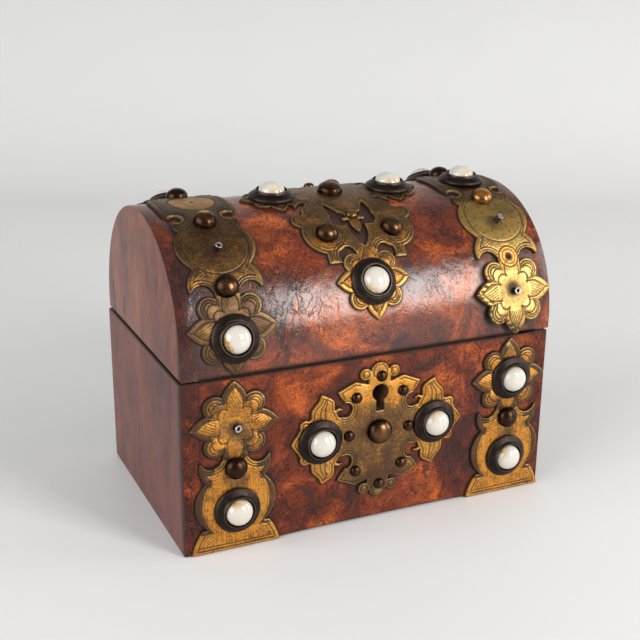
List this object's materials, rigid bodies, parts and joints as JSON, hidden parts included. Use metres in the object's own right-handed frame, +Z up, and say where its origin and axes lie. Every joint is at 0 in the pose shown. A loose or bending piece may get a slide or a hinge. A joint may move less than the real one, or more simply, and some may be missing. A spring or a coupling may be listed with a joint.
{
  "type": "keepsake box",
  "caption": "Dome-lidded wooden keepsake box with engraved brass straps, a lock plate and round white cabochons; the lid hinges up at the back.",
  "frame": {"origin": "middle of the wooden box's underside", "axes": "+Z up, -Y towards the front with the lock plate, +X along the length to the right"},
  "size_m": [0.1505, 0.1053, 0.1245],
  "materials": {
    "burr_walnut": "french polish",
    "plain_walnut": "worn satin",
    "gilt_brass": "engraved, worn gilt",
    "dark_brass": "engraved, tarnished",
    "bright_brass": "engraved, polished",
    "dark_collar": "blackened",
    "white_cabochon": "polished",
    "iron_pin": "dull",
    "lock_steel": "dull"
  },
  "bodies": {
    "base": {"base_front_board": "burr_walnut", "base_back_board": "burr_walnut", "base_left_end": "plain_walnut", "base_right_end": "plain_walnut", "base_bottom_board": "plain_walnut", "lock_case": "lock_steel", "hinge_left_base_leaf": "gilt_brass", "hinge_right_base_leaf": "gilt_brass", "base_left_strap": "gilt_brass", "base_left_strap_stud": "dark_brass", "base_left_strap_body_collar": "dark_collar", "base_left_strap_body_cabochon": "white_cabochon", "base_right_strap": "gilt_brass", "base_right_strap_stud": "dark_brass", "base_right_strap_body_collar": "dark_collar", "base_right_strap_body_cabochon": "white_cabochon", "base_right_strap_flower_collar": "dark_collar", "base_right_strap_flower_cabochon": "white_cabochon", "base_left_strap_flower_pin": "iron_pin", "lock_plate": "gilt_brass", "lock_plate_boss": "dark_brass", "lock_plate_left_collar": "dark_collar", "lock_plate_left_cabochon": "white_cabochon", "lock_plate_right_collar": "dark_collar", "lock_plate_right_cabochon": "white_cabochon"},
    "lid": {"lid_dome": "burr_walnut", "lid_left_end": "plain_walnut", "lid_right_end": "plain_walnut", "hinge_left_lid_leaf": "gilt_brass", "hinge_right_lid_leaf": "gilt_brass", "lid_left_strap": "dark_brass", "lid_right_strap": "bright_brass", "lid_left_strap_flower_collar": "dark_collar", "lid_left_strap_flower_cabochon": "white_cabochon", "lid_left_strap_neck_stud": "dark_brass", "lid_left_strap_disc_pin": "iron_pin", "lid_left_strap_upper_stud": "dark_brass", "lid_left_strap_rear_stud": "dark_brass", "lid_left_strap_rear_collar": "dark_collar", "lid_left_strap_rear_cabochon": "white_cabochon", "lid_right_strap_flower_pin": "iron_pin", "lid_right_strap_disc_pin": "iron_pin", "lid_right_strap_upper_stud": "bright_brass", "lid_right_strap_crest_collar": "dark_collar", "lid_right_strap_crest_cabochon": "white_cabochon", "lid_right_strap_rear_stud": "dark_brass", "lid_right_strap_rear_collar": "dark_collar", "lid_right_strap_rear_cabochon": "white_cabochon", "lid_centre_plate": "dark_brass", "lid_centre_flower_collar": "dark_collar", "lid_centre_flower_cabochon": "white_cabochon", "lid_centre_left_arm_collar": "dark_collar", "lid_centre_left_arm_cabochon": "white_cabochon", "lid_centre_right_arm_collar": "dark_collar", "lid_centre_right_arm_cabochon": "white_cabochon", "lid_centre_left_stud": "dark_brass", "lid_centre_right_stud": "dark_brass", "lid_centre_crest_boss": "dark_brass"}
  },
  "joints": [
    {"name": "lid_hinge", "type": "hinge", "parent": "base", "child": "lid", "pos_m": [0, 0.049, 0.0664], "axis": [-1, 0, 0], "range_deg": [0, 100]}
  ]
}
